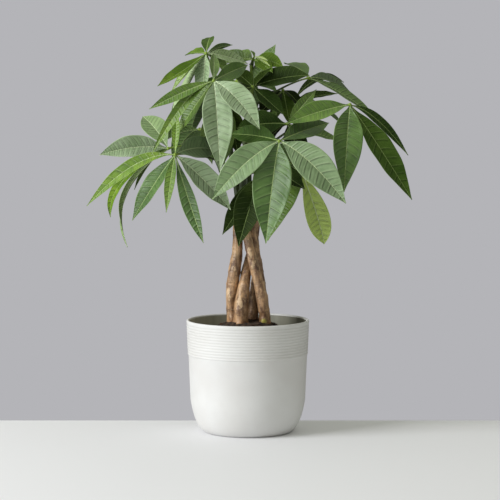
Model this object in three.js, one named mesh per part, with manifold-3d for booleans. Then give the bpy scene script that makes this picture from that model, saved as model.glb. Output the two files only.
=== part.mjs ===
// Potted money tree: five braided woody stems with a loose crown of palmate
// leaves, in a round ceramic pot. Millimetres, +Z up, the origin at the centre
// of the pot's flat underside. The front of the plant faces -Y.
import * as THREE from 'three';
import { mergeVertices } from 'three/addons/utils/BufferGeometryUtils.js';
import Module from 'manifold-3d';

const wasm = await Module();
wasm.setup();

// Driving dimensions
const GAP = 0.3;
const ROUND_SIDES = 36;

const POT_HEIGHT = 137;
const POT_FOOT_RADIUS = 52;
const FOOT_BULGE_RADIUS = 65;
const FOOT_BULGE_Z = 5;
const POT_SHOULDER_Z = 40;
const POT_SHOULDER_RADIUS = 70.2;
const POT_WALL = 3.8;
const POT_FLOOR = 5;
const BAND_BOTTOM_Z = 95;
const BAND_BOTTOM_RADIUS = 73.4;
const BAND_STEP = 0.9;
const RIM_RADIUS = 75;
const LIP = 3.5;
const LIP_DROP = 2;
// The lip's rounding, as [distance in from the rim's outside, drop from the top]
const LIP_ROUND = [[0, 2.6], [0.5, 0.7], [1.6, 0], [2.8, 0.4], [LIP, LIP_DROP]];
const RIB_COUNT = 11;
const RIB_PITCH = 3.4;
const RIB_DEPTH = 0.5;
const RIB_START = 1.2;
const RIB_CREST_SHARE = 0.6;
const OUTER_FOOT_STEPS = 5;
const INNER_FOOT_STEPS = 2;

const SOIL_EDGE_Z = 118;
const SOIL_MOUND = 17.5;
const MOUND_CREST_RADIUS = 14;
const MOUND_FOOT_RADIUS = 68;
const SOIL_RINGS = [1, 0.76, 0.56, 0.38, 0.2, 0];
const LUMP_HEIGHT = 0.6;

const STEM_TOP_Z = 288;
const STEM_SIDES = 8;
const STEM_STEPS = 17;
const SHOOT_SIDES = 6;
const SHOOT_STEPS = 8;
const PETIOLE_SIDES = 5;
const PETIOLE_STEPS = 4;
const TRIM = 4;
const SLAB_WIDTH = 120;
const PLANT_HEIGHT = 500;
const KNOT_SWELL = 0.25;
const KNOT_TURNS = 46;
const PETIOLE_RADIUS_AT_SHOOT = 1.5;
const PETIOLE_RADIUS_AT_HUB = 0.9;
const PETIOLE_MIDDLE = 0.55;
const PETIOLE_ARCH = 0.12;
const HUB_RADIUS = 2.6;

const BLADE_THICKNESS = 0.8;
const BLADE_FOLD = 0.32;
const BLADE_LEAST_HALF = 0.6;
const STALK_SHARE = 0.15;
const STALK_THICKENING = 1.5;

const COLOURS = {
  ceramic: 0xe6e5e2,
  soil: 0x2a211b,
  bark: 0xa08565,
  shoot: 0x6f8a3a,
  leaf: 0x3f7a2e,
  youngLeaf: 0x8fb23c,
};

const vec = (x, y, z) => new THREE.Vector3(x, y, z);

// Solids for joining and cutting

function toSolid(geometry) {
  const bare = geometry.clone();
  bare.deleteAttribute('normal');
  bare.deleteAttribute('uv');
  const merged = mergeVertices(bare, 1e-4);
  return new wasm.Manifold(new wasm.Mesh({
    numProp: 3,
    vertProperties: new Float32Array(merged.attributes.position.array),
    triVerts: new Uint32Array(merged.index.array),
  }));
}

function toGeometry(solid) {
  const mesh = solid.getMesh();
  const geometry = new THREE.BufferGeometry();
  geometry.setAttribute('position', new THREE.BufferAttribute(mesh.vertProperties, 3));
  geometry.setIndex(new THREE.BufferAttribute(mesh.triVerts, 1));
  geometry.computeVertexNormals();
  return geometry;
}

function material(name, roughness) {
  return new THREE.MeshStandardMaterial({ color: COLOURS[name], roughness, metalness: 0 });
}

const plant = new THREE.Group();

function addNode(name, geometry, look) {
  const mesh = new THREE.Mesh(geometry, look);
  mesh.name = name;
  plant.add(mesh);
  return mesh;
}

// A closed skin over rings of points: side strips, and a fan over each end ring.
function skin(rings) {
  const count = rings[0].length;
  const positions = rings.flat().flatMap((p) => [p.x, p.y, p.z]);
  const index = [];
  for (let r = 0; r + 1 < rings.length; r += 1) {
    for (let i = 0; i < count; i += 1) {
      const j = (i + 1) % count;
      const a = r * count + i;
      const b = r * count + j;
      const c = a + count;
      const d = b + count;
      index.push(a, b, d, a, d, c);
    }
  }
  const last = (rings.length - 1) * count;
  for (let i = 1; i + 1 < count; i += 1) {
    index.push(0, i + 1, i);
    index.push(last, last + i, last + i + 1);
  }
  const geometry = new THREE.BufferGeometry();
  geometry.setAttribute('position', new THREE.Float32BufferAttribute(positions, 3));
  geometry.setIndex(index);
  return geometry;
}

// A round tube along a curve, with its own radius at each place. The rings keep
// one direction in sight, so the tube doesn't twist.
function taperedTube(curve, radiusAt, sides, steps) {
  const rings = [];
  for (let s = 0; s <= steps; s += 1) {
    const t = s / steps;
    const centre = curve.getPoint(t);
    const along = curve.getTangent(t);
    const side = vec(0, 1, 0).cross(along);
    if (side.lengthSq() < 0.02) side.set(1, 0, 0);
    side.normalize();
    const up = along.clone().cross(side);
    const ring = [];
    for (let i = 0; i < sides; i += 1) {
      const angle = (2 * Math.PI * i) / sides;
      ring.push(centre.clone()
        .addScaledVector(side, radiusAt(t) * Math.cos(angle))
        .addScaledVector(up, radiusAt(t) * Math.sin(angle)));
    }
    rings.push(ring);
  }
  return skin(rings);
}

// The pot

function footCurve(inset, steps) {
  const foot = new THREE.QuadraticBezierCurve(
    new THREE.Vector2(POT_FOOT_RADIUS - inset, inset && POT_FLOOR),
    new THREE.Vector2(FOOT_BULGE_RADIUS - inset, FOOT_BULGE_Z + inset),
    new THREE.Vector2(POT_SHOULDER_RADIUS - inset, POT_SHOULDER_Z + inset),
  );
  return foot.getPoints(steps);
}

function potProfile() {
  const points = [new THREE.Vector2(0, 0)];
  points.push(...footCurve(0, OUTER_FOOT_STEPS));
  points.push(new THREE.Vector2(BAND_BOTTOM_RADIUS - BAND_STEP, BAND_BOTTOM_Z));
  const bandSlope = (RIM_RADIUS - BAND_BOTTOM_RADIUS) / (POT_HEIGHT - BAND_BOTTOM_Z);
  const bandRadius = (z) => BAND_BOTTOM_RADIUS + (z - BAND_BOTTOM_Z) * bandSlope;
  for (let rib = 0; rib < RIB_COUNT; rib += 1) {
    const z = BAND_BOTTOM_Z + RIB_START + rib * RIB_PITCH;
    points.push(new THREE.Vector2(bandRadius(z), z));
    points.push(new THREE.Vector2(bandRadius(z) - RIB_DEPTH, z + RIB_PITCH * RIB_CREST_SHARE));
  }
  for (const [inward, drop] of LIP_ROUND) {
    points.push(new THREE.Vector2(RIM_RADIUS - inward, POT_HEIGHT - drop));
  }
  points.push(new THREE.Vector2(BAND_BOTTOM_RADIUS - POT_WALL, BAND_BOTTOM_Z));
  points.push(...footCurve(POT_WALL, INNER_FOOT_STEPS).reverse());
  points.push(new THREE.Vector2(0, POT_FLOOR));
  return points;
}

// A lathe turns about Y, so it is stood up to turn about Z.
function turned(profile, sides) {
  const geometry = new THREE.LatheGeometry(profile, sides);
  geometry.rotateX(Math.PI / 2);
  return geometry;
}

// The soil: it fills the pot with a small gap, and rises to an uneven mound
// round the stems

function soilHeight(x, y) {
  const outward = THREE.MathUtils.smoothstep(Math.hypot(x, y), MOUND_CREST_RADIUS, MOUND_FOOT_RADIUS);
  const lumps = Math.sin(x * 0.21 + 1) * Math.cos(y * 0.19) + 0.6 * Math.sin(x * 0.11 - y * 0.31);
  return SOIL_EDGE_Z + SOIL_MOUND * (1 - outward) + LUMP_HEIGHT * lumps;
}

function soilGeometry() {
  const wallBottom = BAND_BOTTOM_RADIUS - POT_WALL;
  const wallSlope = (RIM_RADIUS - LIP - wallBottom) / (POT_HEIGHT - LIP_DROP - BAND_BOTTOM_Z);
  const edge = wallBottom + wallSlope * (SOIL_EDGE_Z - BAND_BOTTOM_Z) - GAP;
  const profile = [new THREE.Vector2(0, POT_FLOOR + GAP)];
  for (const point of footCurve(POT_WALL, INNER_FOOT_STEPS)) {
    profile.push(new THREE.Vector2(point.x - GAP, point.y + GAP));
  }
  profile.push(new THREE.Vector2(wallBottom - GAP, BAND_BOTTOM_Z));
  const firstTop = profile.length;
  for (const share of SOIL_RINGS) {
    profile.push(new THREE.Vector2(edge * share, SOIL_EDGE_Z));
  }
  const geometry = turned(profile, ROUND_SIDES);
  const place = geometry.attributes.position;
  for (let i = 0; i < place.count; i += 1) {
    if (i % profile.length >= firstTop) {
      place.setZ(i, soilHeight(place.getX(i), place.getY(i)));
    }
  }
  return geometry;
}

// The five woody stems: places [x, y, z, radius], from deep in the soil to the
// cut top where the green shoot starts

const STEMS = {
  left: [
    [-17, 4, 72, 7.2], [-17.8, 3, 126, 6.4], [-19.4, 2, 150, 6.6], [-19.2, 0, 172, 7.3], [-17, -1, 189, 7.5],
    [-14.2, -1, 208, 6.9], [-12.4, -1, 225, 6.3], [-12.2, 2, 250, 5.7], [-12, 6, STEM_TOP_Z, 4.9],
  ],
  front: [
    [-8, -10, 72, 8.4], [-8.8, -11.5, 126, 8.3], [-8.2, -12, 150, 8.5], [-5.6, -10, 172, 7.5],
    [-2.4, -1, 192, 6.2], [0.6, 6, 205, 5.7], [4, 10.8, 219, 5.5], [8, 12, 237, 5.2],
    [10, 12, 260, 5], [10, 10, STEM_TOP_Z, 4.8],
  ],
  right: [
    [17, -6, 72, 7.4], [20.2, -6, 126, 6.3], [20.4, -7, 143, 6.4], [18, -9, 158, 6.6], [15, -10, 174, 6.3],
    [11.6, -10, 188, 6.4], [8.2, -11, 202, 6], [3.8, -11, 218, 5.5], [0.8, -10.5, 232, 5.3],
    [-3, -9, 250, 5.1], [-8, -8, STEM_TOP_Z, 4.8],
  ],
  rightRear: [
    [20, 11, 72, 6.8], [20, 10, 126, 6.4], [20, 9, 150, 6.2], [16.8, 6, 175, 5.9], [13.9, 5, 191, 5.6],
    [12.2, 3, 205, 5.4], [9.7, -0.5, 219, 5.2], [6, 0, 237, 5], [2.5, 1, 260, 4.9], [1, 3, STEM_TOP_Z, 4.8],
  ],
  rear: [
    [4.6, 14, 72, 7.8], [4.6, 13.5, 126, 7.6], [6.2, 14, 148, 6.8], [9, 17, 175, 5.8], [10.5, 17.5, 191, 5.6],
    [10.3, 19, 205, 5.4], [9.5, 21.5, 219, 5.3], [7.5, 23.5, 237, 5.1], [3, 22.5, 260, 5],
    [-1, 16, STEM_TOP_Z, 4.8],
  ],
};

// The green shoots go on from the stems' tops

const SHOOTS = {
  left: [[-12, 6, STEM_TOP_Z, 4.2], [-16, 5, 315, 3.6], [-23, 2, 355, 3.0], [-28, 0, 400, 2.4]],
  front: [[10, 10, STEM_TOP_Z, 4.2], [16, 9, 318, 3.6], [22, 8, 352, 3.0], [26, 6, 388, 2.4]],
  right: [[-8, -8, STEM_TOP_Z, 4.2], [-5, -13, 315, 3.6], [1, -17, 345, 3.0], [6, -20, 368, 2.4]],
  rightRear: [
    [1, 3, STEM_TOP_Z, 4.2], [1, 2, 330, 3.6], [4, 4, 375, 3.0], [5, 8, 425, 2.2], [4, 10, 447, 1.8],
  ],
  rear: [[-1, 16, STEM_TOP_Z, 4.2], [-4, 23, 325, 3.6], [-2, 31, 360, 3.0], [2, 38, 400, 2.4]],
};

function pathOf(places) {
  return new THREE.CatmullRomCurve3(places.map(([x, y, z]) => vec(x, y, z)), false, 'centripetal');
}

// The radius runs evenly between the listed places.
function radiusAlong(places, extra) {
  return (t) => {
    const at = t * (places.length - 1);
    const low = Math.min(Math.floor(at), places.length - 2);
    return THREE.MathUtils.lerp(places[low][3], places[low + 1][3], at - low) + extra;
  };
}

// Stem and shoot are drawn a little past the plane where they meet, and cut there.
function slab(bottom, top) {
  const box = new THREE.BoxGeometry(SLAB_WIDTH, SLAB_WIDTH, top - bottom);
  box.translate(0, 0, (top + bottom) / 2);
  return toSolid(box);
}

function woodyStem(places, extra = 0) {
  const [x, y, z, r] = places.at(-1);
  const past = [...places.slice(0, -1), [x, y, z + TRIM, r]];
  const knots = (t) => radiusAlong(past, extra)(t) + KNOT_SWELL * Math.sin(t * KNOT_TURNS + places[0][0]);
  return toSolid(taperedTube(pathOf(past), knots, STEM_SIDES, STEM_STEPS)).intersect(slab(0, STEM_TOP_Z));
}

function greenShoot(places, extra = 0) {
  const [x, y, z, r] = places[0];
  const past = [[x, y, z - TRIM, r], ...places.slice(1)];
  const tube = toSolid(taperedTube(pathOf(past), radiusAlong(past, extra), SHOOT_SIDES, SHOOT_STEPS));
  return tube.intersect(slab(STEM_TOP_Z + GAP, PLANT_HEIGHT));
}

// The place on a shoot at a height
function shootPoint(name, height) {
  const curve = pathOf(SHOOTS[name]);
  let best = curve.getPoint(0);
  for (let t = 0; t <= 1; t += 0.01) {
    const point = curve.getPoint(t);
    if (Math.abs(point.z - height) < Math.abs(best.z - height)) best = point;
  }
  return best;
}

// The leaves. Each one has a petiole from a shoot to its hub, and a fan of
// leaflets [tip, width, arch, roll, reach]: the tip's place, the greatest width,
// the rise of the middle as a share of the length, a turn about the rib in
// degrees, and how far out the middle lies, as a share of the way to the tip.
// The facing is the direction that the fan looks in.

const LEAVES = [
  {
    name: 'leaf_top_left', shoot: 'left', height: 394, hub: [-50, -25, 460], facing: [-0.25, -0.55, 0.8],
    leaflets: [
      [[-46, 40, 481], 16, 0.06, 0], [[-19, 15, 471], 9, 0.04, -75], [[-77, 35, 459], 17, 0.03, 0],
      [[-107, -50, 421], 21, -0.03, 0], [[-98, -2, 364], 28, 0.05, 20], [[-54, -42, 406], 24, 0.05, 20],
      [[0, 0, 448], 17, 0.04, 30], [[-27, 10, 434], 25, 0.08, 0], [[-92, -20, 414], 14, 0.06, 0],
    ],
  },
  {
    name: 'leaf_front_left_high', shoot: 'left', height: 376, hub: [-40, -70, 427],
    facing: [0.1, -0.65, 0.75],
    leaflets: [
      [[-32, -104, 321], 36, 0.1, 0], [[14, -104, 371], 33, 0.085, 8], [[-115, -85, 394], 15, 0.03, -25],
      [[-113, -84, 340], 13, 0.13, -20], [[-84, -40, 365], 22, 0.02, 0], [[0, -30, 446], 20, 0.02, 40],
      [[-40, -48, 460], 13, 0.02, 20],
    ],
  },
  {
    name: 'leaf_front', shoot: 'right', height: 338, hub: [37, -95, 357], facing: [0, -0.65, 0.75],
    leaflets: [
      [[-41, -114, 290], 35, 0.08, -12], [[21, -120, 239], 45, 0.1, 0], [[114, -112, 285], 39, 0.08, 24],
      [[97, -34, 377], 26, 0.02, 20], [[-21, -46, 364], 26, 0.03, -20],
    ],
  },
  {
    name: 'leaf_right', shoot: 'front', height: 346, hub: [121, -55, 399], facing: [0.2, -0.6, 0.77],
    leaflets: [
      [[46, -78, 377], 27, 0.03, -10], [[113, -84, 297], 36, 0.1, 0], [[194, -68, 287], 32, 0.02, 10],
      [[193, -20, 338], 13, 0.1, 30],
    ],
  },
  {
    name: 'leaf_left_low', shoot: 'left', height: 322, hub: [-86, -60, 340], facing: [-0.2, -0.6, 0.77],
    leaflets: [
      [[-136, -76, 263], 26, 0.03, 0], [[-95, -100, 274], 13, 0.06, 0], [[-52, -84, 237], 19, -0.03, 20],
      [[-20, -56, 274], 33, 0.04, 0], [[-36, -10, 343], 28, 0.08, 50], [[-191, -58, 279], 18, 0.13, -20],
      [[-84, -46, 392], 10, 0, 0],
    ],
  },
  {
    name: 'leaf_left_rear', shoot: 'left', height: 345, hub: [-96, -12, 346], facing: [-0.3, -0.35, 0.88],
    leaflets: [
      [[-177, -36, 339], 29, 0.06, -45], [[-130, 50, 384], 29, 0.05, 0],
      [[-166, -14, 263], 13, 0.24, -25, 1.1], [[-147, 6, 225], 14, 0.52, 50, 1.55],
      [[-140, 30, 294], 30, 0.12, 0],
    ],
  },
  {
    name: 'leaf_top_centre', shoot: 'right', height: 366, hub: [6, -8, 420], facing: [0, -0.6, 0.8],
    leaflets: [
      [[74, -16, 434], 31, 0.05, 10], [[30, -31, 444], 22, 0.03, -30], [[34, 34, 472], 22, 0.02, -20],
      [[-18, 8, 440], 22, 0.04, 0], [[-18, -26, 410], 20, 0.06, 0], [[43, -18, 387], 26, 0, 0],
    ],
  },
  {
    name: 'leaf_right_inner', shoot: 'front', height: 384, hub: [43, 26, 416], facing: [0.1, -0.5, 0.87],
    leaflets: [
      [[51, -8, 374], 19, 0.02, 0], [[15, 10, 388], 28, 0.03, 0], [[68, 16, 390], 16, 0.12, 0],
      [[34, 84, 378], 26, 0.1, 0],
    ],
  },
  {
    name: 'leaf_right_top', shoot: 'rightRear', height: 395, hub: [74, 6, 431], facing: [0.2, -0.5, 0.85],
    leaflets: [
      [[154, -14, 383], 19, 0.05, 0], [[46, 66, 449], 26, 0.06, 0], [[136, 62, 402], 26, 0.1, 0],
    ],
  },
  {
    name: 'leaf_right_rear', shoot: 'rear', height: 388, hub: [56, 56, 402], facing: [0.1, -0.3, 0.95],
    leaflets: [
      [[119, 56, 426], 15, 0.24, 20], [[110, 32, 412], 14, 0.04, -50], [[120, 106, 372], 28, 0.1, 0],
      [[62, 142, 366], 30, 0.1, 0],
    ],
  },
  {
    name: 'leaf_middle', shoot: 'right', height: 352, hub: [47, -30, 376], facing: [0, -0.6, 0.8],
    leaflets: [
      [[-13, -42, 371], 32, 0.04, -25], [[83, 0, 417], 15, 0, 20], [[66, -52, 318], 28, 0.1, 0],
      [[20, -16, 348], 20, 0.1, 0], [[112, -13, 355], 19, 0, 0],
    ],
  },
  {
    name: 'leaf_front_low', shoot: 'right', height: 312, hub: [17, -36, 318], facing: [0, -0.7, 0.7],
    leaflets: [
      [[-30, -56, 245], 24, 0, 0], [[-11, -70, 232], 35, 0.04, 8], [[68, -58, 299], 28, 0.1, 0],
    ],
  },
  {
    name: 'leaf_right_hanging', shoot: 'front', height: 320, hub: [62, 0, 328], facing: [-0.1, -0.8, 0.6],
    leaflets: [
      [[93, 2, 229], 29, 0.07, 0, 0.92], [[24, -72, 239], 41, 0.1, 0], [[110, 42, 302], 28, 0.1, 0],
      [[62, 70, 302], 28, 0.1, 0],
    ],
  },
  {
    name: 'leaf_middle_left', shoot: 'left', height: 360, hub: [-24, -30, 400], facing: [-0.1, -0.6, 0.8],
    leaflets: [
      [[-34, -38, 318], 34, 0.1, 0], [[-58, -10, 352], 28, 0.02, 0], [[-12, -28, 340], 26, 0.06, 0],
    ],
  },
  {
    name: 'leaf_top', shoot: 'rightRear', height: 434, hub: [7, 14, 453], facing: [0, -0.8, 0.6],
    leaflets: [
      [[-36, 34, 457], 20, 0.02, -10], [[43, -3, 444], 19.5, 0.09, 10], [[30, -11, 437], 18, 0.05, 0],
      [[-30, 84, 448], 30, 0.05, 0],
    ],
  },
  {
    name: 'leaf_rear_left_high', shoot: 'left', height: 386, hub: [-50, 60, 412], facing: [-0.1, 0.4, 0.9],
    leaflets: [
      [[-98, 98, 380], 27, 0.1, 0], [[-76, 150, 352], 29, 0.12, 0], [[-24, 154, 362], 29, 0.12, 0],
      [[-2, 104, 400], 25, 0.08, 0], [[-88, 50, 410], 22, 0.06, 0],
    ],
  },
  {
    name: 'leaf_rear_high', shoot: 'rear', height: 397, hub: [-14, 96, 428], facing: [0, 0.4, 0.9],
    leaflets: [
      [[-68, 118, 408], 27, 0.1, 0], [[-48, 166, 378], 29, 0.12, 0], [[10, 172, 382], 29, 0.12, 0],
      [[38, 130, 414], 25, 0.08, 0],
    ],
  },
  {
    name: 'leaf_rear_left_low', shoot: 'rear', height: 350, hub: [-60, 62, 368], facing: [-0.2, 0.4, 0.88],
    leaflets: [
      [[-112, 74, 350], 25, 0.08, 0], [[-96, 124, 326], 29, 0.12, 0], [[-46, 138, 322], 29, 0.12, 0],
      [[-18, 104, 348], 25, 0.08, 0],
    ],
  },
  {
    name: 'leaf_rear_low', shoot: 'rear', height: 326, hub: [14, 78, 344], facing: [0.1, 0.5, 0.85],
    leaflets: [
      [[62, 118, 316], 30, 0.12, 0], [[20, 148, 298], 32, 0.12, 0], [[-20, 128, 304], 30, 0.12, 0],
    ],
  },
  {
    name: 'leaf_young', shoot: 'rightRear', height: 447, hub: [8, 0, 457], facing: [0, -0.5, 0.85],
    leaflets: [
      [[27, -12, 445], 5, 0.03, 0], [[24, -10, 452], 4.5, 0.03, 0], [[4, -10, 464], 6, 0.03, 0],
    ],
  },
];

// How wide a leaflet is along its rib, as [share of the length, share of the width]
const BLADE_OUTLINE = [
  [0, 0.05], [0.1, 0.16], [0.32, 0.78], [0.56, 1], [0.8, 0.66], [1, 0.02],
];

// One leaflet: a thin blade folded a little along its rib, with a pointed tip
function leaflet(hub, facing, [tip, width, arch, roll, reach = 0.45]) {
  const start = vec(...hub);
  const end = vec(...tip);
  const length = start.distanceTo(end);
  const middle = start.clone().lerp(end, reach);
  middle.z += arch * length * 2;
  const rib = new THREE.QuadraticBezierCurve3(start, middle, end);
  const rings = BLADE_OUTLINE.map(([t, share]) => {
    const centre = rib.getPoint(t);
    const along = rib.getTangent(t);
    const out = vec(...facing);
    out.addScaledVector(along, -out.dot(along)).normalize();
    out.applyAxisAngle(along, THREE.MathUtils.degToRad(roll));
    const side = along.clone().cross(out);
    const half = Math.max(0.5 * width * share, BLADE_LEAST_HALF);
    const rise = half * BLADE_FOLD;
    const thick = BLADE_THICKNESS * (t < STALK_SHARE ? STALK_THICKENING : 1);
    const at = (across, up) => centre.clone().addScaledVector(side, across).addScaledVector(out, up);
    return [
      at(-half, rise), at(0, 0), at(half, rise),
      at(half, rise - thick), at(0, -thick), at(-half, rise - thick),
    ];
  });
  return toSolid(skin(rings));
}

function petiole(start, hub) {
  const middle = start.clone().lerp(hub, PETIOLE_MIDDLE);
  middle.z += PETIOLE_ARCH * start.distanceTo(hub);
  const curve = new THREE.QuadraticBezierCurve3(start, middle, hub);
  const radius = (t) => THREE.MathUtils.lerp(PETIOLE_RADIUS_AT_SHOOT, PETIOLE_RADIUS_AT_HUB, t);
  return toSolid(taperedTube(curve, radius, PETIOLE_SIDES, PETIOLE_STEPS));
}

function leafGeometry(leaf) {
  const hub = vec(...leaf.hub);
  let solid = petiole(shootPoint(leaf.shoot, leaf.height), hub);
  const knob = new THREE.OctahedronGeometry(HUB_RADIUS, 0);
  knob.translate(hub.x, hub.y, hub.z);
  solid = solid.add(toSolid(knob));
  for (const blade of leaf.leaflets) {
    solid = solid.add(leaflet(leaf.hub, leaf.facing, blade));
  }
  return toGeometry(solid.subtract(greenShoot(SHOOTS[leaf.shoot], GAP)));
}

// The object

const potLook = material('ceramic', 0.6);
const soilLook = material('soil', 1);
const barkLook = material('bark', 0.75);
const shootLook = material('shoot', 0.6);
const leafLook = material('leaf', 0.45);
const youngLook = material('youngLeaf', 0.45);

addNode('pot', turned(potProfile(), ROUND_SIDES), potLook);

let soil = toSolid(soilGeometry());
for (const places of Object.values(STEMS)) {
  soil = soil.subtract(woodyStem(places, GAP));
}
addNode('soil', toGeometry(soil), soilLook);

for (const [name, places] of Object.entries(STEMS)) {
  addNode(`stem_${name}`, toGeometry(woodyStem(places)), barkLook);
}
for (const [name, places] of Object.entries(SHOOTS)) {
  addNode(`shoot_${name}`, toGeometry(greenShoot(places)), shootLook);
}
for (const leaf of LEAVES) {
  addNode(leaf.name, leafGeometry(leaf), leaf.name === 'leaf_young' ? youngLook : leafLook);
}

export default plant;
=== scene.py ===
"""A potted money tree: five braided woody stems with a loose crown of palmate
leaves, in a round white ceramic pot. Lengths in the tables are millimetres, and
every mesh is made in metres. The front of the plant faces -Y."""

import math

import bpy
import numpy as np
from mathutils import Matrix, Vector, noise


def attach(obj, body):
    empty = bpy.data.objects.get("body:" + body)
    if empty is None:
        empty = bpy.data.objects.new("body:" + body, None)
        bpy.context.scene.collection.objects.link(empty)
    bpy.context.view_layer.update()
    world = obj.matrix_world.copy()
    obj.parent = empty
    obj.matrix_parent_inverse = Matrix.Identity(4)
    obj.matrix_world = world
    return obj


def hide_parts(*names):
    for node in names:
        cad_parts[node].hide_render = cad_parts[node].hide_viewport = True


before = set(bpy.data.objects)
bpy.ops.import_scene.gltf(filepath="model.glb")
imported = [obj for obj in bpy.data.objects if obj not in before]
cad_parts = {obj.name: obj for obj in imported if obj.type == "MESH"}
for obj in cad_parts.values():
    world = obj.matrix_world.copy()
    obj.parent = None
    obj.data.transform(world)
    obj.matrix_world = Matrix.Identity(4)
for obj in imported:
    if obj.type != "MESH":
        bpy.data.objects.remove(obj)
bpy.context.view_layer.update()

MM = 0.001

# The camera: eye level a little under the top of the crown, looking slightly down
EYE = (2.7, -2400, 411)
DOWN_TILT_DEG = 4.5
LENS_MM = 142.3
SENSOR_WIDTH_MM = 36

# The floor and the light, in metres
FLOOR_HALF_WIDTH = 1.6
FLOOR_FRONT = -1.8
FLOOR_BACK = 0.075
ROOM_LIGHT_BELOW = 0.36
ROOM_LIGHT_ABOVE = 1.7
KEY_PLACE = (-2.1, -1.1, 1.25)
KEY_TARGET = (0, 0, 0.3)
KEY_SIZE = (1.3, 2.2)
KEY_POWER = 73
KEY_TINT = (0.96, 0.97, 1.0)

# Colours in screen values from 0 to 255
COLOURS = {
    "floor": (232, 232, 234),
    "wall": (180, 180, 184),
    "room": (170, 171, 163),
    "glaze speck": (150, 140, 125),
    # Painted shade in the band's grooves
    "painted groove shade": (176, 174, 166),
    "soil fleck": (128, 100, 70),
    "bark streak": (98, 62, 40),
    "bark crack": (88, 58, 40),
    "bark pore": (214, 186, 142),
    "flaked bark": (230, 198, 156),
    "greyed bark": (150, 138, 108),
    "root bark": (160, 108, 68),
    "root bud": (196, 190, 80),
    "stalk streak": (52, 64, 28),
    "leaf underside": (104, 128, 60),
    # Painted shade in the leaf's creases, on one side of each side vein
    "painted crease shade": (20, 34, 6),
    # Painted glow of light through a young or hanging leaflet
    "new leaf in painted glow": (178, 202, 100),
}

# Colours that vary between two shades
SHADES = {
    "glaze": ((215, 214, 211), (221, 221, 219)),
    "inside olive-grey": ((100, 100, 86), (118, 117, 101)),
    # Painted light: the inside's lighter colour towards -X
    "inside in painted light": ((188, 186, 166), (204, 202, 182)),
    "soil": ((28, 20, 15), (86, 64, 46)),
    "bark": ((92, 62, 40), (216, 174, 128)),
    # Stalk green; the darker shade is partly painted shade for stalks in the crown's shade
    "stalk": ((40, 54, 18), (136, 164, 56)),
    # Painted shade for leaflets in the shade of others
    "dark leaf": ((20, 32, 1), (36, 48, 6)),
    "middle leaf": ((64, 96, 36), (86, 120, 53)),
    # Painted sheen for leaflets that catch the light
    "pale leaf": ((136, 160, 116), (164, 186, 146)),
    "new leaf": ((94, 130, 24), (130, 162, 44)),
    # Pale veins, rib and edge; the paler shade is painted sheen
    "leaf line": ((168, 192, 118), (216, 230, 186)),
}

# The pot. Its profile starts and ends at CENTRE_RADIUS, where flat middles close it.
CENTRE_RADIUS = 4
POT_HEIGHT = 137
POT_FOOT_RADIUS = 52
FOOT_RING_WIDTH = 5.5
FOOT_RING_SLOPE = 1.5
FOOT_RING_EDGE = 0.2
FOOT_HOLLOW = 1.2
FOOT_BULGE_RADIUS = 65
FOOT_BULGE_Z = 5
POT_SHOULDER_Z = 40
POT_SHOULDER_RADIUS = 70.2
POT_WALL = 3.8
POT_FLOOR = 5
RIM_RADIUS = 75
LIP = 3.5
LIP_DROP = 2
LIP_TURN_DEG = (-10, 190)
LIP_ROWS = 15
POT_SIDES = 144
# How many rows of faces past the top of the lip still carry the white glaze
INNER_GLAZE_ROWS = 5

# The pot's band: the wall steps out to it through (outward, up) from its bottom edge
BAND_BOTTOM_Z = 95
BAND_BOTTOM_RADIUS = 73.4
BAND_STEP = ((-0.9, -0.6), (-0.75, -0.2), (-0.2, 0.1))
BAND_FIRST_ROW = 0.5
RIB_COUNT = 11
RIB_PITCH = 3.4
RIB_ROWS = 8
RIB_DEPTH = 0.27
RIB_ROUNDNESS = 1.6
RIBS_BOTTOM_Z = BAND_BOTTOM_Z + 1.2
RIBS_TOP_Z = RIBS_BOTTOM_Z + RIB_COUNT * RIB_PITCH

# The soil, with its roughness as (height, layer of the noise, size)
SOIL_EDGE_Z = 118
SOIL_MOUND = 17.5
MOUND_CREST_RADIUS = 14
MOUND_FOOT_RADIUS = 68
SOIL_LUMP_HEIGHT = 0.6
SOIL_ROUGHNESS = ((1.3, 0, 5), (0.6, 7, 1.8))
SOIL_SIDES = 120
SOIL_RINGS = 56

# Crumbs and chips: half lengths, and their width and height as shares of the length
CRUMB_COUNT = 520
CRUMB_SIZES = (0.5, 1.5)
CRUMB_WIDTHS = (0.5, 1)
CRUMB_HEIGHTS = (0.35, 0.8)
CRUMB_CORNER_SHIFT = 0.35
CRUMB_LEAN = 0.5
CRUMB_RISE = 0.4
CRUMBS_OFF_WALL = 3
CRUMB_SEED = 7

# Stems and shoots
GAP = 0.3
STEM_TOP_Z = 288
STEM_TOP_TAPER = 0.8
STEM_USUAL_RADIUS = 7
STEM_SIDES = 40
STEM_STEPS = 170
BURIED_DEPTH = 6
SHOOT_SIDES = 18
SHOOT_STEPS = 48
SHOOT_FINE_STEPS = 200
SHOOT_TIP_TAPER = 0.6
SHOOT_RIPE_FROM_Z = 330
SHOOT_RIPE_SPAN = 160
SHOOT_RIPE_MOST = 0.6
NODE_SWELL = 0.5
NODE_SIZE = 3

# The bark's relief: ridges, lumps, scars where leaves fell, and the root collar
RIDGE_HEIGHT = 0.5
RIDGE_SIZE = 3.2
BARK_LUMP_HEIGHT = 0.75
BARK_LUMP_SIZE = 9
SCAR_HEIGHT = 0.4
SCAR_SPACING = 15
SCAR_WOBBLE = 2.2
SCAR_THINNESS = 14
ROOT_COLLAR_Z = 135
ROOT_FLARE = 1.3
ROOT_FLARE_FADE = 6
ROOT_TINT = 0.8
ROOT_TINT_FADE = 5

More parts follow.
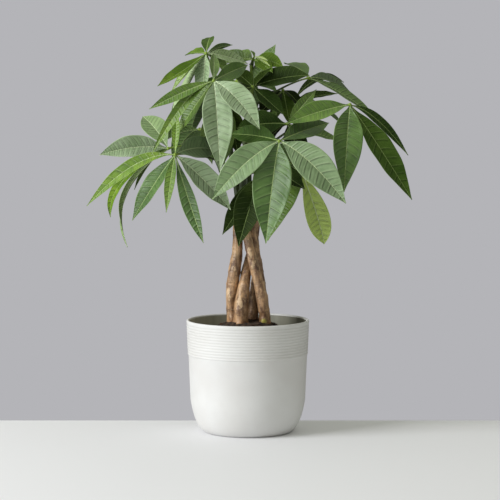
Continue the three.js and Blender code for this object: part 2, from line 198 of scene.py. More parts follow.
# Leaf stalks and hubs
PETIOLE_RADIUS = 1.5
PETIOLE_TIP_RADIUS = 0.9
PETIOLE_MIDDLE = 0.55
PETIOLE_ARCH = 0.12
PETIOLE_ROWS = 33
PETIOLE_SIDES = 12
PETIOLE_SWELL = 0.9
PETIOLE_TIP_SWELL = 0.7
PETIOLE_SWELL_LENGTH = 0.05
HUB_RADIUS = 2.1
YOUNG_HUB_SHARE = 0.55
YOUNG_BLADE_WIDTH = 10
HUB_ROWS = 11
HUB_END_TURN = 0.02
HUB_SIDES = 14

# Leaflets
BLADE_FOLD = 0.32
BLADE_THICKNESS = 0.5
BASE_THICKENING = 1.1
BASE_LENGTH = 0.09
BLADE_STEPS = 84
LEAST_HALF_WIDTH = 0.45
QUILT_HEIGHT = 1.15
# Leaflets with a smaller half width are quilted less
QUILTED_HALF_WIDTH = 16
EDGE_WAVE = 0.035
KEEL_HEIGHT = 0.8
KEEL_HALF_WIDTH = 0.9
VEIN_PAIRS = 13
VEIN_SLANT = 0.34
VEIN_CURVE = 0.2
VEIN_DRIFT = 0.22
VEIN_LAG = (0.3, 0.7)
RIB_HALF_WIDTH = 0.8
TONE_SPREAD = 0.08
BLADE_SEED = 21
# Leaflets with a painted_light under this hang in the shade of the others; as painted shade they get a
# duller, shaded copy of the leaf material
SHADED_TONE = -0.45
# Where the columns of a blade lie, from the rib to the edge
COLUMNS = (0, 0.035, 0.08, 0.16, 0.3, 0.47, 0.65, 0.82, 0.94, 1)
# How wide a leaflet is along its rib: (share of the length, share of the width)
OUTLINE = (
    (0, 0.05), (0.05, 0.08), (0.1, 0.16), (0.17, 0.36), (0.24, 0.57), (0.32, 0.77), (0.42, 0.94),
    (0.52, 1), (0.63, 0.96), (0.74, 0.8), (0.83, 0.57), (0.91, 0.31), (0.96, 0.13), (1, 0.01),
)

# The five woody stems: places (x, y, z, radius) from deep in the soil to the top
STEMS = {
    "left": (
        (-17, 4, 72, 7.2), (-17.8, 3, 126, 6.4), (-19.4, 2, 150, 6.6), (-19.2, 0, 172, 7.3),
        (-17, -1, 189, 7.5), (-14.2, -1, 208, 6.9), (-12.4, -1, 225, 6.3), (-12.2, 2, 250, 5.7),
        (-12, 6, STEM_TOP_Z, 4.9),
    ),
    "front": (
        (-8, -10, 72, 8.4), (-8.8, -11.5, 126, 8.3), (-8.2, -12, 150, 8.5), (-5.6, -10, 172, 7.5),
        (-2.4, -1, 192, 6.2), (0.6, 6, 205, 5.7), (4, 10.8, 219, 5.5), (8, 12, 237, 5.2),
        (10, 12, 260, 5), (10, 10, STEM_TOP_Z, 4.8),
    ),
    "right": (
        (17, -6, 72, 7.4), (20.2, -6, 126, 6.3), (20.4, -7, 143, 6.4), (18, -9, 158, 6.6),
        (15, -10, 174, 6.3), (11.6, -10, 188, 6.4), (8.2, -11, 202, 6), (3.8, -11, 218, 5.5),
        (0.8, -10.5, 232, 5.3), (-3, -9, 250, 5.1), (-8, -8, STEM_TOP_Z, 4.8),
    ),
    "rightRear": (
        (20, 11, 72, 6.8), (20, 10, 126, 6.4), (20, 9, 150, 6.2), (16.8, 6, 175, 5.9),
        (13.9, 5, 191, 5.6), (12.2, 3, 205, 5.4), (9.7, -0.5, 219, 5.2), (6, 0, 237, 5),
        (2.5, 1, 260, 4.9), (1, 3, STEM_TOP_Z, 4.8),
    ),
    "rear": (
        (4.6, 14, 72, 7.8), (4.6, 13.5, 126, 7.6), (6.2, 14, 148, 6.8), (9, 17, 175, 5.8),
        (10.5, 17.5, 191, 5.6), (10.3, 19, 205, 5.4), (9.5, 21.5, 219, 5.3), (7.5, 23.5, 237, 5.1),
        (3, 22.5, 260, 5), (-1, 16, STEM_TOP_Z, 4.8),
    ),
}

# Knobs on the bark: (height, turn in degrees from the front, size, swell)
KNOBS = {
    "left": (
        (139, 0, 4, 1.2), (152, 20, 4, 0.7), (168, -20, 5, 0.6), (196, -60, 6, 0.8), (233, -20, 4, 0.7),
    ),
    "front": ((137, 35, 5, 1.2), (163, -10, 5, 0.8), (178, 20, 3, 0.9), (148, 60, 5, 0.8)),
    "right": ((137, -20, 3.5, 2.2), (150, -20, 5, 0.7), (176, 40, 5, 0.6), (206, 10, 4, 0.6)),
    "rightRear": ((160, 20, 4, 0.6), (230, 40, 4, 0.7), (205, 60, 4, 0.6)),
    "rear": ((138, -10, 4, 2.4), (150, 30, 4, 0.6)),
}

# A yellow-green root bud, and places where the bark flakes: (x, y, z) and sizes
BUDS = {"right": ((19.5, -13, 136.5), (3.5, 4, 3))}
FLAKES = {
    "left": ((-23, -5, 169), (5, 6, 9)),
    "front": ((-8, -19, 160), (6, 5, 9)),
    "right": ((2, -17, 222), (4, 4, 8)),
}

# The green shoots that go on from the stems' tops
SHOOTS = {
    "left": ((-12, 6, STEM_TOP_Z, 4.2), (-16, 5, 315, 3.6), (-23, 2, 355, 3), (-28, 0, 400, 2.4)),
    "front": ((10, 10, STEM_TOP_Z, 4.2), (16, 9, 318, 3.6), (22, 8, 352, 3), (26, 6, 388, 2.4)),
    "right": ((-8, -8, STEM_TOP_Z, 4.2), (-5, -13, 315, 3.6), (1, -17, 345, 3), (6, -20, 368, 2.4)),
    "rightRear": (
        (1, 3, STEM_TOP_Z, 4.2), (1, 2, 330, 3.6), (4, 4, 375, 3), (5, 8, 425, 2.2), (4, 10, 447, 1.8),
    ),
    "rear": ((-1, 16, STEM_TOP_Z, 4.2), (-4, 23, 325, 3.6), (-2, 31, 360, 3), (2, 38, 400, 2.4)),
}


def blade(tip, width, arch=0.1, roll=0, reach=0.45, painted_light=0, young_green_and_glow=0):
    """One leaflet: its tip, width, arch as a share of its length, turn about the rib
    and how far out its middle lies; painted_light goes from painted shade to painted
    sheen, and young_green_and_glow to yellow-green: young leaves' own colour, and
    painted light shining through the leaflet"""
    tip = np.array(tip, float)
    return dict(tip=tip, width=width, arch=arch, roll=roll, reach=reach, painted_light=painted_light, young_green_and_glow=young_green_and_glow)


def leaf(shoot, height, hub, facing, *blades):
    """One leaf: its shoot and at what height it leaves it, its hub's place, where its
    face looks, and its leaflets"""
    hub, facing = np.array(hub, float), np.array(facing, float)
    return dict(shoot=shoot, height=height, hub=hub, facing=facing, blades=blades)


# Each leaflet's painted_light paints its light and shade: below 0 painted shade, above 0 painted sheen
LEAVES = {
    "top_left": leaf(
        "left", 394, (-50, -25, 460), (-0.25, -0.55, 0.8),
        blade((-46, 40, 481), 16, 0.06, painted_light=-0.5, young_green_and_glow=0.15),
        blade((-19, 15, 471), 9, 0.04, -75, painted_light=0.2),
        blade((-77, 35, 459), 17, 0.03, painted_light=-0.6, young_green_and_glow=0.5),
        blade((-107, -50, 421), 21, -0.03, painted_light=-0.7, young_green_and_glow=0.45),
        blade((-98, -2, 364), 28, 0.05, 20, painted_light=1, young_green_and_glow=0.2),
        blade((-54, -42, 406), 24, 0.05, 20, painted_light=1),
        blade((0, 0, 448), 17, 0.04, 30, painted_light=0.9, young_green_and_glow=0.2),
        blade((-27, 10, 434), 25, 0.08, painted_light=-0.2, young_green_and_glow=0.6),
        blade((-92, -20, 414), 14, 0.06, painted_light=0.6, young_green_and_glow=1),
    ),
    "front_left_high": leaf(
        "left", 376, (-40, -70, 427), (0.1, -0.65, 0.75),
        blade((-32, -104, 321), 36, painted_light=1),
        blade((14, -104, 371), 33, 0.085, 8, painted_light=1),
        blade((-115, -85, 394), 15, 0.03, -25, painted_light=0.2, young_green_and_glow=0.45),
        blade((-113, -84, 340), 13, 0.13, -20, young_green_and_glow=0.6),
        blade((-84, -40, 365), 22, 0.02, painted_light=-0.4, young_green_and_glow=0.4),
        blade((0, -30, 446), 20, 0.02, 40, young_green_and_glow=0.15),
        blade((-40, -48, 460), 13, 0.02, 20, painted_light=0.4, young_green_and_glow=0.4),
    ),
    "front": leaf(
        "right", 338, (37, -95, 357), (0, -0.65, 0.75),
        blade((-41, -114, 290), 35, 0.08, -12, painted_light=0.4),
        blade((21, -120, 239), 45, painted_light=0.2),
        blade((114, -112, 285), 39, 0.08, 24, painted_light=0.45),
        blade((97, -34, 377), 26, 0.02, 20, painted_light=-0.3, young_green_and_glow=0.1),
        blade((-21, -46, 364), 26, 0.03, -20, painted_light=-0.5),
    ),
    "right": leaf(
        "front", 346, (121, -55, 399), (0.2, -0.6, 0.77),
        blade((46, -78, 377), 27, 0.03, -10, painted_light=-0.1, young_green_and_glow=0.35),
        blade((113, -84, 297), 36, painted_light=-0.2, young_green_and_glow=0.1),
        blade((194, -68, 287), 32, 0.02, 10, painted_light=-0.6, young_green_and_glow=0.1),
        blade((193, -20, 338), 13, 0.1, 30, painted_light=-0.6),
    ),
    "left_low": leaf(
        "left", 322, (-86, -60, 340), (-0.2, -0.6, 0.77),
        blade((-136, -76, 263), 26, 0.03, painted_light=0.1),
        blade((-95, -100, 274), 13, 0.06, painted_light=-0.4, young_green_and_glow=0.5),
        blade((-52, -84, 237), 19, -0.03, 20, painted_light=0.15),
        blade((-20, -56, 274), 33, 0.04, painted_light=1),
        blade((-36, -10, 343), 28, 0.08, 50, painted_light=0.5),
        blade((-191, -58, 279), 18, 0.13, -20, painted_light=0.2, young_green_and_glow=0.85),
        blade((-84, -46, 392), 10, 0, painted_light=-0.2, young_green_and_glow=0.8),
    ),
    "left_rear": leaf(
        "left", 345, (-96, -12, 346), (-0.3, -0.35, 0.88),
        blade((-177, -36, 339), 29, 0.06, -45, painted_light=0.9),
        blade((-130, 50, 384), 29, 0.05, painted_light=0.6, young_green_and_glow=0.25),
        blade((-166, -14, 263), 13, 0.24, -25, 1.1, painted_light=-0.6, young_green_and_glow=0.75),
        blade((-147, 6, 225), 14, 0.52, 50, 1.55, painted_light=0.5, young_green_and_glow=0.4),
        blade((-140, 30, 294), 30, 0.12, painted_light=-0.6, young_green_and_glow=0.1),
    ),
    "top_centre": leaf(
        "right", 366, (6, -8, 420), (0, -0.6, 0.8),
        blade((74, -16, 434), 31, 0.05, 10, painted_light=-0.8),
        blade((30, -31, 444), 22, 0.03, -30, painted_light=-0.4, young_green_and_glow=0.35),
        blade((34, 34, 472), 22, 0.02, -20, painted_light=0.2, young_green_and_glow=0.2),
        blade((-18, 8, 440), 22, 0.04, painted_light=-0.6, young_green_and_glow=0.15),
        blade((-18, -26, 410), 20, 0.06, painted_light=-0.7),
        blade((43, -18, 387), 26, 0, painted_light=-0.7),
    ),
    "right_inner": leaf(
        "front", 384, (43, 26, 416), (0.1, -0.5, 0.87),
        blade((51, -8, 374), 19, 0.02, painted_light=-0.7, young_green_and_glow=0.25),
        blade((15, 10, 388), 28, 0.03, painted_light=-1),
        blade((68, 16, 390), 16, 0.12, painted_light=-0.9),
        blade((34, 84, 378), 26, painted_light=-0.6),
    ),
    "right_top": leaf(
        "rightRear", 395, (74, 6, 431), (0.2, -0.5, 0.85),
        blade((154, -14, 383), 19, 0.05, painted_light=-0.4, young_green_and_glow=0.15),
        blade((46, 66, 449), 26, 0.06, painted_light=-0.3, young_green_and_glow=0.2),
        blade((136, 62, 402), 26, painted_light=-0.4),
    ),
    "right_rear": leaf(
        "rear", 388, (56, 56, 402), (0.1, -0.3, 0.95),
        blade((119, 56, 426), 15, 0.24, 20, painted_light=-0.8),
        blade((110, 32, 412), 14, 0.04, -50, painted_light=-0.6),
        blade((120, 106, 372), 28, painted_light=-0.3),
        blade((62, 142, 366), 30),
    ),
    "middle": leaf(
        "right", 352, (47, -30, 376), (0, -0.6, 0.8),
        blade((-13, -42, 371), 32, 0.04, -25, painted_light=-0.6),
        blade((83, 0, 417), 15, 0, 20, painted_light=0.1, young_green_and_glow=0.4),
        blade((66, -52, 318), 28, painted_light=-0.8),
        blade((20, -16, 348), 20, painted_light=-1),
        blade((112, -13, 355), 19, 0, young_green_and_glow=0.35),
    ),
    "front_low": leaf(
        "right", 312, (17, -36, 318), (0, -0.7, 0.7),
        blade((-30, -56, 245), 24, 0, painted_light=-0.8),
        blade((-11, -70, 232), 35, 0.04, 8, painted_light=-0.8),
        blade((68, -58, 299), 28, painted_light=-0.7),
    ),
    "right_hanging": leaf(
        "front", 320, (62, 0, 328), (-0.1, -0.8, 0.6),
        blade((93, 2, 229), 29, 0.07, 0, 0.92, painted_light=1, young_green_and_glow=1),
        blade((24, -72, 239), 41, painted_light=-0.3, young_green_and_glow=0.35),
        blade((110, 42, 302), 28, painted_light=-0.3),
        blade((62, 70, 302), 28, painted_light=-0.2),
    ),
    "middle_left": leaf(
        "left", 360, (-24, -30, 400), (-0.1, -0.6, 0.8),
        blade((-34, -38, 318), 34, painted_light=-0.8, young_green_and_glow=0.1),
        blade((-58, -10, 352), 28, 0.02, painted_light=-0.9, young_green_and_glow=0.1),
        blade((-12, -28, 340), 26, 0.06, painted_light=-0.8, young_green_and_glow=0.1),
    ),
    "top": leaf(
        "rightRear", 434, (7, 14, 453), (0, -0.8, 0.6),
        blade((-36, 34, 457), 20, 0.02, -10, painted_light=-0.4, young_green_and_glow=0.45),
        blade((43, -3, 444), 19.5, 0.09, 10, painted_light=-0.6, young_green_and_glow=0.45),
        blade((30, -11, 437), 18, 0.05, painted_light=-0.6, young_green_and_glow=0.45),
        blade((-30, 84, 448), 30, 0.05, painted_light=-0.4, young_green_and_glow=0.3),
    ),
    "rear_left_high": leaf(
        "left", 386, (-50, 60, 412), (-0.1, 0.4, 0.9),
        blade((-98, 98, 380), 27),
        blade((-76, 150, 352), 29, 0.12, painted_light=0.1),
        blade((-24, 154, 362), 29, 0.12),
        blade((-2, 104, 400), 25, 0.08, young_green_and_glow=0.1),
        blade((-88, 50, 410), 22, 0.06, young_green_and_glow=0.2),
    ),
    "rear_high": leaf(
        "rear", 397, (-14, 96, 428), (0, 0.4, 0.9),
        blade((-68, 118, 408), 27, young_green_and_glow=0.1),
        blade((-48, 166, 378), 29, 0.12, painted_light=0.1),
        blade((10, 172, 382), 29, 0.12, painted_light=0.1),
        blade((38, 130, 414), 25, 0.08, young_green_and_glow=0.2),
    ),
    "rear_left_low": leaf(
        "rear", 350, (-60, 62, 368), (-0.2, 0.4, 0.88),
        blade((-112, 74, 350), 25, 0.08, young_green_and_glow=0.15),
        blade((-96, 124, 326), 29, 0.12),
        blade((-46, 138, 322), 29, 0.12, painted_light=-0.1),
        blade((-18, 104, 348), 25, 0.08, painted_light=-0.2),
    ),
    "rear_low": leaf(
        "rear", 326, (14, 78, 344), (0.1, 0.5, 0.85),
        blade((62, 118, 316), 30, 0.12, painted_light=-0.1),
        blade((20, 148, 298), 32, 0.12),
        blade((-20, 128, 304), 30, 0.12, painted_light=-0.2),
    ),
    "young": leaf(
        "rightRear", 447, (8, 0, 457), (0, -0.5, 0.85),
        blade((27, -12, 445), 5, 0.03, painted_light=0.9, young_green_and_glow=1),
        blade((24, -10, 452), 4.5, 0.03, painted_light=0.9, young_green_and_glow=1),
        blade((4, -10, 464), 6, 0.03, painted_light=0.3, young_green_and_glow=0.9),
    ),
}


# Camera, floor and light

def new_object(name, data):
    placed = bpy.data.objects.new(name, data)
    bpy.context.collection.objects.link(placed)
    return placed


def add_camera():
    data = bpy.data.cameras.new("camera")
    data.lens = LENS_MM
    data.sensor_width = SENSOR_WIDTH_MM
    camera = new_object("camera", data)
    camera.location = Vector(EYE) * MM
    camera.rotation_euler = (math.radians(90 - DOWN_TILT_DEG), 0, 0)
    bpy.context.scene.camera = camera


def add_floor():
    side, front, back = FLOOR_HALF_WIDTH, FLOOR_FRONT, FLOOR_BACK
    corners = [(-side, front, 0), (side, front, 0), (side, back, 0), (-side, back, 0)]
    mesh = bpy.data.meshes.new("floor")
    mesh.from_pydata(corners, [], [(0, 1, 2, 3)])
    mesh.materials.append(floor_material())
    floor = new_object("floor", mesh)


def add_room():
    """A dim room with more light from above, whose wall looks cool grey"""
    nodes = Nodes(bpy.data.worlds.new("studio"))
    direction = nodes.node("TexCoord", {}).outputs["Generated"]
    height = nodes.node("SeparateXYZ", {0: direction}).outputs["Z"]
    brighter_above = {"Value": height, "To Min": ROOM_LIGHT_BELOW, "To Max": ROOM_LIGHT_ABOVE}
    strength = nodes.node("MapRange", brighter_above).outputs["Result"]
    room = nodes.tree.nodes["Background"]
    nodes.fill(room, {"Color": tint("room"), "Strength": strength})
    wall = nodes.node("Background", {"Color": tint("wall")})
    seen = nodes.node("LightPath", {}).outputs["Is Camera Ray"]
    either = nodes.node("MixShader", {0: seen, 1: room.outputs[0], 2: wall.outputs[0]})
    nodes.fill(nodes.tree.nodes["World Output"], {"Surface": either.outputs[0]})
    bpy.context.scene.world = nodes.owner
    bpy.context.scene.view_settings.view_transform = "Standard"


def add_key_light():
    """A large soft light from the left, like a window's"""
    data = bpy.data.lights.new("key", "AREA")
    data.shape = "RECTANGLE"
    data.size, data.size_y = KEY_SIZE
    data.energy = KEY_POWER
    data.color = KEY_TINT
    light = new_object("key", data)
    light.location = KEY_PLACE
    aim = Vector(KEY_TARGET) - Vector(KEY_PLACE)
    light.rotation_euler = aim.to_track_quat("-Z", "Y").to_euler()


# Materials

def linear(red, green, blue):
    """A colour given in screen values from 0 to 255, as linear light"""
    def one(value):
        share = value / 255
        return share / 12.92 if share <= 0.04045 else ((share + 0.055) / 1.055) ** 2.4
    return (one(red), one(green), one(blue), 1)


def tint(name):
    return linear(*COLOURS[name])


class Nodes:
    """A short way to write a material's or the world's nodes"""

    # The mix node's colour sockets; its number sockets have the same names
    FIRST_COLOUR, SECOND_COLOUR, MIXED_COLOUR = 6, 7, 2

    def __init__(self, owner):
        owner.use_nodes = True
        self.owner = owner
        self.tree = owner.node_tree

    def fill(self, node, inputs):
        """Gives a node's inputs, by name or number, values or other nodes' outputs"""
        for key, value in inputs.items():
            if isinstance(value, bpy.types.NodeSocket):
                self.tree.links.new(value, node.inputs[key])
            else:
                node.inputs[key].default_value = value
        return node

    def node(self, kind, inputs):
        return self.fill(self.tree.nodes.new("ShaderNode" + kind), inputs)

    def attribute(self, name):
        node = self.node("Attribute", {})
        node.attribute_name = name
        return node.outputs["Fac"]

    def place(self, scale=(1, 1, 1)):
        """The place on the object in metres, stretched by scale"""
        on_object = self.node("TexCoord", {}).outputs["Object"]
        return self.node("Mapping", {"Vector": on_object, "Scale": scale}).outputs["Vector"]

    def noise(self, vector, scale, detail, rough=0.5):
        inputs = {"Vector": vector, "Scale": scale, "Detail": detail, "Roughness": rough}
        return self.node("TexNoise", inputs).outputs["Fac"]

    def cells(self, vector, scale):
        return self.node("TexVoronoi", {"Vector": vector, "Scale": scale}).outputs["Distance"]

    def math(self, operation, *values):
        node = self.node("Math", dict(enumerate(values)))
        node.operation = operation
        return node.outputs[0]

    def times(self, first, second):
        return self.math("MULTIPLY", first, second)

    def ramp(self, value, low, high, start=0.0, end=1.0):
        """A smooth step of value from low to high, as start to end"""
        inputs = {"Value": value, "From Min": low, "From Max": high, "To Min": start, "To Max": end}
        node = self.node("MapRange", inputs)
        node.interpolation_type = "SMOOTHSTEP"
        return node.outputs["Result"]

    def mix(self, share, first, second):
        inputs = {"Factor": share, self.FIRST_COLOUR: first, self.SECOND_COLOUR: second}
        node = self.node("Mix", inputs)
        node.data_type = "RGBA"
        return node.outputs[self.MIXED_COLOUR]

    def shades(self, name, share):
        """A named colour that goes from its first shade to its second with share"""
        first, second = SHADES[name]
        return self.mix(share, linear(*first), linear(*second))

    def over(self, colour, name, share):
        """A named colour laid over another with share"""
        return self.mix(share, colour, tint(name))

    def bump(self, height, distance, strength):
        inputs = {"Height": height, "Distance": distance, "Strength": strength}
        return self.node("Bump", inputs).outputs["Normal"]

    def finished(self, colour, roughness, normal=None, specular=0.5):
        """The material, once its surface has what it needs"""
        inputs = {"Base Color": colour, "Roughness": roughness, "Specular IOR Level": specular}
        if normal is not None:
            inputs["Normal"] = normal
        self.fill(self.tree.nodes["Principled BSDF"], inputs)
        return self.owner


def material_nodes(name):
    return Nodes(bpy.data.materials.new(name))


def floor_material():
    return material_nodes("floor").finished(tint("floor"), 0.7)


def ceramic_material():
    """Matt white glaze with a faint mottle and rare specks, a little uneven, and
    greyer in the band's grooves as painted shade"""
    nodes = material_nodes("ceramic")
    place = nodes.place()
    mottle = nodes.noise(place, scale=18, detail=4)
    colour = nodes.shades("glaze", nodes.ramp(mottle, 0.35, 0.7))
    specks = nodes.ramp(nodes.cells(place, scale=900), 0.05, 0.12, 1, 0)
    rare = nodes.ramp(nodes.noise(place, scale=240, detail=1), 0.66, 0.7)
    colour = nodes.over(colour, "glaze speck", nodes.times(nodes.times(specks, rare), 0.25))
    # Painted shade in the band's grooves
    colour = nodes.over(colour, "painted groove shade", nodes.times(nodes.attribute("groove"), 0.32))
    roughness = nodes.ramp(nodes.noise(place, scale=60, detail=3), 0.3, 0.7, 0.5, 0.62)
    uneven = nodes.noise(place, scale=420, detail=4)
    normal = nodes.bump(uneven, distance=0.0002, strength=0.5)
    return nodes.finished(colour, roughness, normal, specular=0.4)


def inner_wall_material():
    """The pot's inside: dull olive-grey, far darker than the outer glaze, with darker
    runs, and lighter towards -X as painted light"""
    nodes = material_nodes("inner_wall")
    runs = nodes.noise(nodes.place((1, 1, 0.2)), scale=90, detail=4, rough=0.6)
    share = nodes.ramp(runs, 0.3, 0.7)
    # Painted light: lighter towards -X
    colour = nodes.mix(
        nodes.attribute("painted_left_light"), nodes.shades("inside olive-grey", share), nodes.shades("inside in painted light", share),
    )
    return nodes.finished(colour, 0.6, nodes.bump(runs, distance=0.0003, strength=0.5))


def soil_material():
    nodes = material_nodes("soil")
    place = nodes.place()
    grain = nodes.noise(place, scale=260, detail=6, rough=0.65)
    colour = nodes.shades("soil", nodes.ramp(grain, 0.35, 0.7))
    fleck = nodes.ramp(nodes.cells(place, scale=420), 0.1, 0.2, 1, 0)
    colour = nodes.over(colour, "soil fleck", nodes.times(fleck, 0.4))
    return nodes.finished(colour, 0.92, nodes.bump(grain, distance=0.0012, strength=0.9))


def bark_material():
    """Thin tan bark: long pale and red-brown streaks, cork cracks and pale pores"""
    nodes = material_nodes("bark")
    streaks = nodes.noise(nodes.place((1, 1, 0.16)), scale=330, detail=5, rough=0.6)
    patches = nodes.noise(nodes.place((1, 1, 0.5)), scale=105, detail=5, rough=0.6)
    pores = nodes.ramp(nodes.cells(nodes.place((0.5, 0.5, 1)), scale=430), 0.1, 0.24, 1, 0)
    crazed = nodes.noise(nodes.place((0.35, 0.35, 1.5)), scale=360, detail=5, rough=0.7)
    cracks = nodes.ramp(crazed, 0.55, 0.68)
    ragged = nodes.noise(nodes.place((1, 1, 0.5)), scale=95, detail=6, rough=0.7)
    flaked = nodes.math("MULTIPLY_ADD", nodes.attribute("flake"), 0.13, ragged)
    weathered = nodes.noise(nodes.place((1, 1, 0.6)), scale=45, detail=2)

    colour = nodes.shades("bark", nodes.ramp(patches, 0.32, 0.68))
    colour = nodes.over(colour, "bark streak", nodes.ramp(streaks, 0.4, 0.66, 0, 0.55))
    colour = nodes.over(colour, "bark crack", nodes.times(cracks, 0.5))
    colour = nodes.over(colour, "bark pore", nodes.times(pores, 0.55))
    colour = nodes.over(colour, "flaked bark", nodes.ramp(flaked, 0.58, 0.63, 0, 0.7))
    colour = nodes.over(colour, "greyed bark", nodes.ramp(weathered, 0.55, 0.75, 0, 0.3))
    colour = nodes.over(colour, "root bark", nodes.times(nodes.attribute("root"), 0.5))
    colour = nodes.over(colour, "root bud", nodes.attribute("bud"))
    roughness = nodes.ramp(patches, 0.3, 0.7, 0.52, 0.4)
    height = nodes.math("SUBTRACT", nodes.math("MULTIPLY_ADD", streaks, 0.8, pores), cracks)
    normal = nodes.bump(height, distance=0.0005, strength=0.8)
    return nodes.finished(colour, roughness, normal, specular=0.7)


def stalk_material():
    """Petioles, hubs and shoots: smooth green, yellower towards the leaf; the darker green is partly
    painted shade
    """
    nodes = material_nodes("stalk")
    colour = nodes.shades("stalk", nodes.attribute("ripe"))
    streaks = nodes.noise(nodes.place((1, 1, 0.3)), scale=500, detail=3)
    colour = nodes.over(colour, "stalk streak", nodes.ramp(streaks, 0.45, 0.7, 0, 0.35))
    return nodes.finished(colour, 0.45, nodes.bump(streaks, distance=0.0002, strength=0.5))


def leaf_face_colour(nodes, painted_light, place):
    """A leaflet's green: from painted shade to painted sheen with its painted_light, yellower with its
    young_green_and_glow, blotched
    """
    blotch = nodes.ramp(nodes.noise(place, scale=48, detail=4), 0.3, 0.7)
    # dark and pale are painted shade and painted sheen; middle is the leaf's own green
    dark, middle, pale = (nodes.shades(kind + " leaf", blotch) for kind in ("dark", "middle", "pale"))
    colour = nodes.mix(nodes.ramp(painted_light, -1, 0), dark, middle)
    colour = nodes.mix(nodes.ramp(painted_light, 0, 1), colour, pale)
    # Young leaves' own yellow-green; at a high painted_light it pales to a painted glow of light through
    # the leaflet
    new = nodes.over(nodes.shades("new leaf", blotch), "new leaf in painted glow", nodes.ramp(painted_light, 0.5, 1))
    colour = nodes.mix(nodes.attribute("young_green_and_glow"), colour, new)
    return nodes.over(colour, "leaf underside", nodes.times(nodes.attribute("under"), 0.2))


def leaf_material(name, specular, roughness):
    """A satin leaf: side veins between raised pillows, with painted shade on one side of
    each pillow, a pale rib that thins towards the tip, and a pale edge; the rib, veins
    and edge are paler and stronger where the leaflet has painted sheen"""
    nodes = material_nodes(name)
    place = nodes.place()
    painted_light = nodes.attribute("painted_light")
    rib_place = nodes.attribute("rib")
    across = nodes.math("ABSOLUTE", nodes.attribute("across"))
    past_vein = nodes.math("FRACT", nodes.attribute("vein"))
    vein_distance = nodes.math("PINGPONG", nodes.attribute("vein"), 0.5)
    uneven = nodes.ramp(nodes.noise(place, scale=110, detail=3), 0.32, 0.62, 0.1, 1)
    inner = nodes.ramp(across, 0.7, 1, 1, 0)
    uneven_inner = nodes.times(uneven, inner)

    # Painted shade on one side of each pillow, just past each side vein
    painted_crease_shade = nodes.times(nodes.ramp(past_vein, 0, 0.5, 0.46, 0), uneven_inner)
    colour = nodes.over(leaf_face_colour(nodes, painted_light, place), "painted crease shade", painted_crease_shade)
    # The lines are paler and stronger on leaflets with more painted sheen
    vein_line = nodes.ramp(vein_distance, 0, 0.07, nodes.ramp(painted_light, -1, 0, 0.12, 0.3), 0)
    rib_line = nodes.ramp(rib_place, 0.6, 1.2, nodes.ramp(painted_light, -1, -0.2, 0.4, 0.75), 0)
    edge_line = nodes.ramp(across, 0.965, 1, 0, nodes.ramp(painted_light, -1, 0, 0.15, 0.5))
    lines = nodes.math("MAXIMUM", nodes.times(vein_line, uneven_inner), rib_line)
    lines = nodes.math("MAXIMUM", lines, edge_line)
    colour = nodes.mix(lines, colour, nodes.shades("leaf line", nodes.ramp(painted_light, -0.2, 1)))

    pillows = nodes.times(nodes.ramp(vein_distance, 0, 0.24), inner)
    net = nodes.cells(place, scale=900)
    height = nodes.math("MULTIPLY_ADD", net, 0.06, pillows)
    height = nodes.math("ADD", height, nodes.ramp(rib_place, 0.4, 1.3, 0.3, 0))
    normal = nodes.bump(height, distance=0.0006, strength=0.9)
    return nodes.finished(colour, roughness, normal, specular)


# Mesh making

def add_piece(name, vertices, faces, materials, material_of_face=None, floats=None):
    """A smooth mesh object from points in millimetres, riding with the whole part"""
    mesh = bpy.data.meshes.new(name)
    mesh.from_pydata((np.asarray(vertices) * MM).tolist(), [], faces)
    for material in materials:
        mesh.materials.append(material)
    if material_of_face is not None:
        mesh.polygons.foreach_set("material_index", np.asarray(material_of_face, dtype=np.int32))
    for attribute, values in (floats or {}).items():
        layer = mesh.attributes.new(attribute, "FLOAT", "POINT")
        layer.data.foreach_set("value", np.asarray(values, dtype=np.float32))
    mesh.polygons.foreach_set("use_smooth", np.ones(len(mesh.polygons), dtype=bool))
    mesh.update()
    piece = new_object(name, mesh)
    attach(piece, "root")
    return piece


def grid_faces(rows, columns, closed):
    """Quads between rows of points; closed joins each row's last point to its first"""
    faces = []
    for row in range(rows - 1):
        for column in range(columns if closed else columns - 1):
            after = (column + 1) % columns
            a, b = row * columns + column, row * columns + after
            faces.append((a, b, b + columns, a + columns))
    return faces


def bezier(start, middle, end, t):
    t = t[:, None]
    return (1 - t) ** 2 * start + 2 * t * (1 - t) * middle + t**2 * end


def between(t, first, leaving, last, arriving):
    """A smooth curve from first to last with the slopes at both ends, t from 0 to 1"""
    return (
        (2 * t**3 - 3 * t**2 + 1) * first + (t**3 - 2 * t**2 + t) * leaving
        + (3 * t**2 - 2 * t**3) * last + (t**3 - t**2) * arriving
    )


def smooth_through(points, at):
    """The values at the places in at of a smooth curve through (place, value) points"""
    places, values = np.array(points, dtype=float).T
    slopes = np.gradient(values, places)
    low = np.clip(np.searchsorted(places, at, side="right") - 1, 0, len(places) - 2)
    span = places[low + 1] - places[low]
    t = (at - places[low]) / span
    return between(t, values[low], span * slopes[low], values[low + 1], span * slopes[low + 1])


def unit(vectors):
    return vectors / np.linalg.norm(vectors, axis=-1, keepdims=True)


def turned_about(vectors, axes, degrees):
    """Vectors turned about unit axes"""
    angle = math.radians(degrees)
    along = np.sum(vectors * axes, axis=-1, keepdims=True) * axes
    return (vectors - along) * math.cos(angle) + np.cross(axes, vectors) * math.sin(angle) + along


def tube_rings(centres, radii, sides):
    """Rings of points round a path. One direction is kept, so the tube doesn't twist."""
    along = unit(np.gradient(centres, axis=0))
    across = unit(np.cross((0.0, 1.0, 0.0), along))
    up = np.cross(along, across)
    angle = np.linspace(0, 2 * math.pi, sides, endpoint=False)
    ring = np.cos(angle)[None, :, None] * across[:, None] + np.sin(angle)[None, :, None] * up[:, None]
    return centres[:, None] + ring * radii[..., None]


